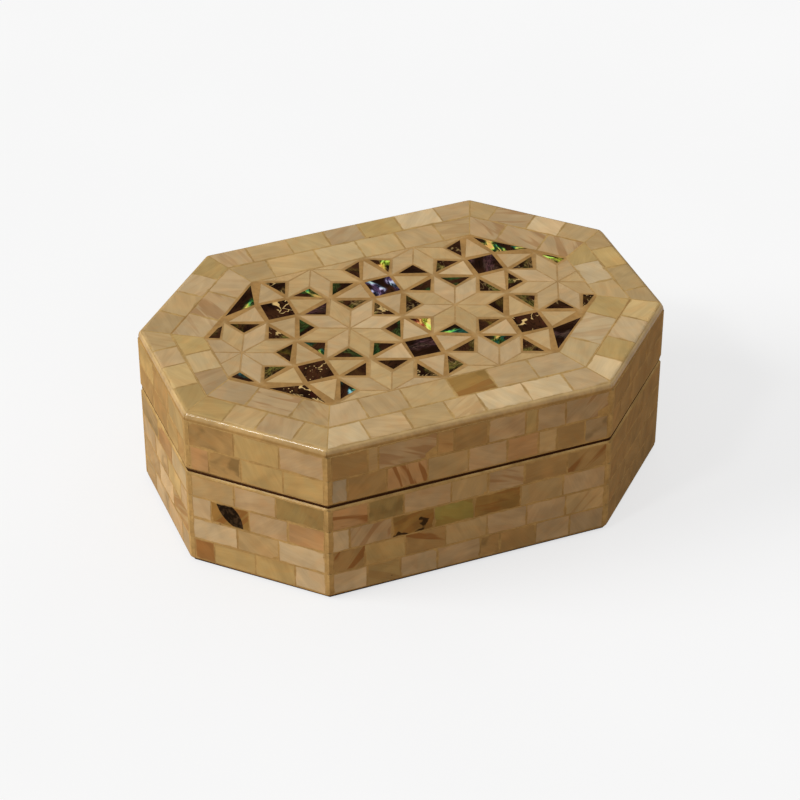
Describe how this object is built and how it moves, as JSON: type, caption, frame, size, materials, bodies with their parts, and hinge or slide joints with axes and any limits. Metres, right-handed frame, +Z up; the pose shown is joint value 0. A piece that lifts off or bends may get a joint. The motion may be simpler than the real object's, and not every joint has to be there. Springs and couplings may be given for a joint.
{
  "type": "inlaid keepsake box",
  "caption": "Long octagonal wooden keepsake box faced with shell mosaic, star inlay on a hinged lid, velvet lined.",
  "frame": {"origin": "middle of the underside, on the surface the box stands on", "axes": "+X along the length, -Y towards the front, +Y towards the hinges, +Z up"},
  "size_m": [0.1406, 0.1, 0.0504],
  "materials": {
    "pale_shell": "lacquered mother of pearl, polished flush",
    "dark_shell": "lacquered dark iridescent shell",
    "filler": "tan filler under clear lacquer",
    "carcass_wood": "planed softwood, unfinished",
    "velvet": "deep red velvet on card",
    "underside_felt": "dark brown felt",
    "hinge_brass": "drawn brass, lightly tarnished"
  },
  "bodies": {
    "base": {"base_front_board": "carcass_wood", "base_front_right_board": "carcass_wood", "base_right_board": "carcass_wood", "base_back_right_board": "carcass_wood", "base_back_board": "carcass_wood", "base_back_left_board": "carcass_wood", "base_left_board": "carcass_wood", "base_front_left_board": "carcass_wood", "base_floor_board": "carcass_wood", "underside_felt": "underside_felt", "base_filler": "filler", "base_shell_course_1": "pale_shell", "base_shell_course_2": "pale_shell", "base_shell_course_3": "pale_shell", "base_shell_course_4": "pale_shell", "base_floor_lining": "velvet", "base_wall_lining": "velvet", "left_hinge_base_leaf": "hinge_brass", "left_hinge_pin": "hinge_brass", "right_hinge_base_leaf": "hinge_brass", "right_hinge_pin": "hinge_brass", "base_hinge_screws": "hinge_brass"},
    "lid": {"lid_front_rail": "carcass_wood", "lid_front_right_rail": "carcass_wood", "lid_right_rail": "carcass_wood", "lid_back_right_rail": "carcass_wood", "lid_back_rail": "carcass_wood", "lid_back_left_rail": "carcass_wood", "lid_left_rail": "carcass_wood", "lid_front_left_rail": "carcass_wood", "lid_top_board": "carcass_wood", "lid_top_filler": "filler", "lid_rim_filler": "filler", "lid_shell_course_1": "pale_shell", "lid_shell_course_2": "pale_shell", "star_petals": "pale_shell", "square_points": "pale_shell", "inner_border_tiles": "pale_shell", "outer_border_tiles": "pale_shell", "star_notch_triangles": "dark_shell", "dark_squares": "dark_shell", "corner_triangles": "dark_shell", "lid_top_lining": "velvet", "lid_rim_lining": "velvet", "left_hinge_lid_leaf": "hinge_brass", "right_hinge_lid_leaf": "hinge_brass", "lid_hinge_screws": "hinge_brass"}
  },
  "joints": [
    {"name": "lid_hinge", "type": "hinge", "parent": "base", "child": "lid", "pos_m": [0, 0.0484, 0.0314], "axis": [-1, 0, 0], "range_deg": [0, 100]}
  ]
}
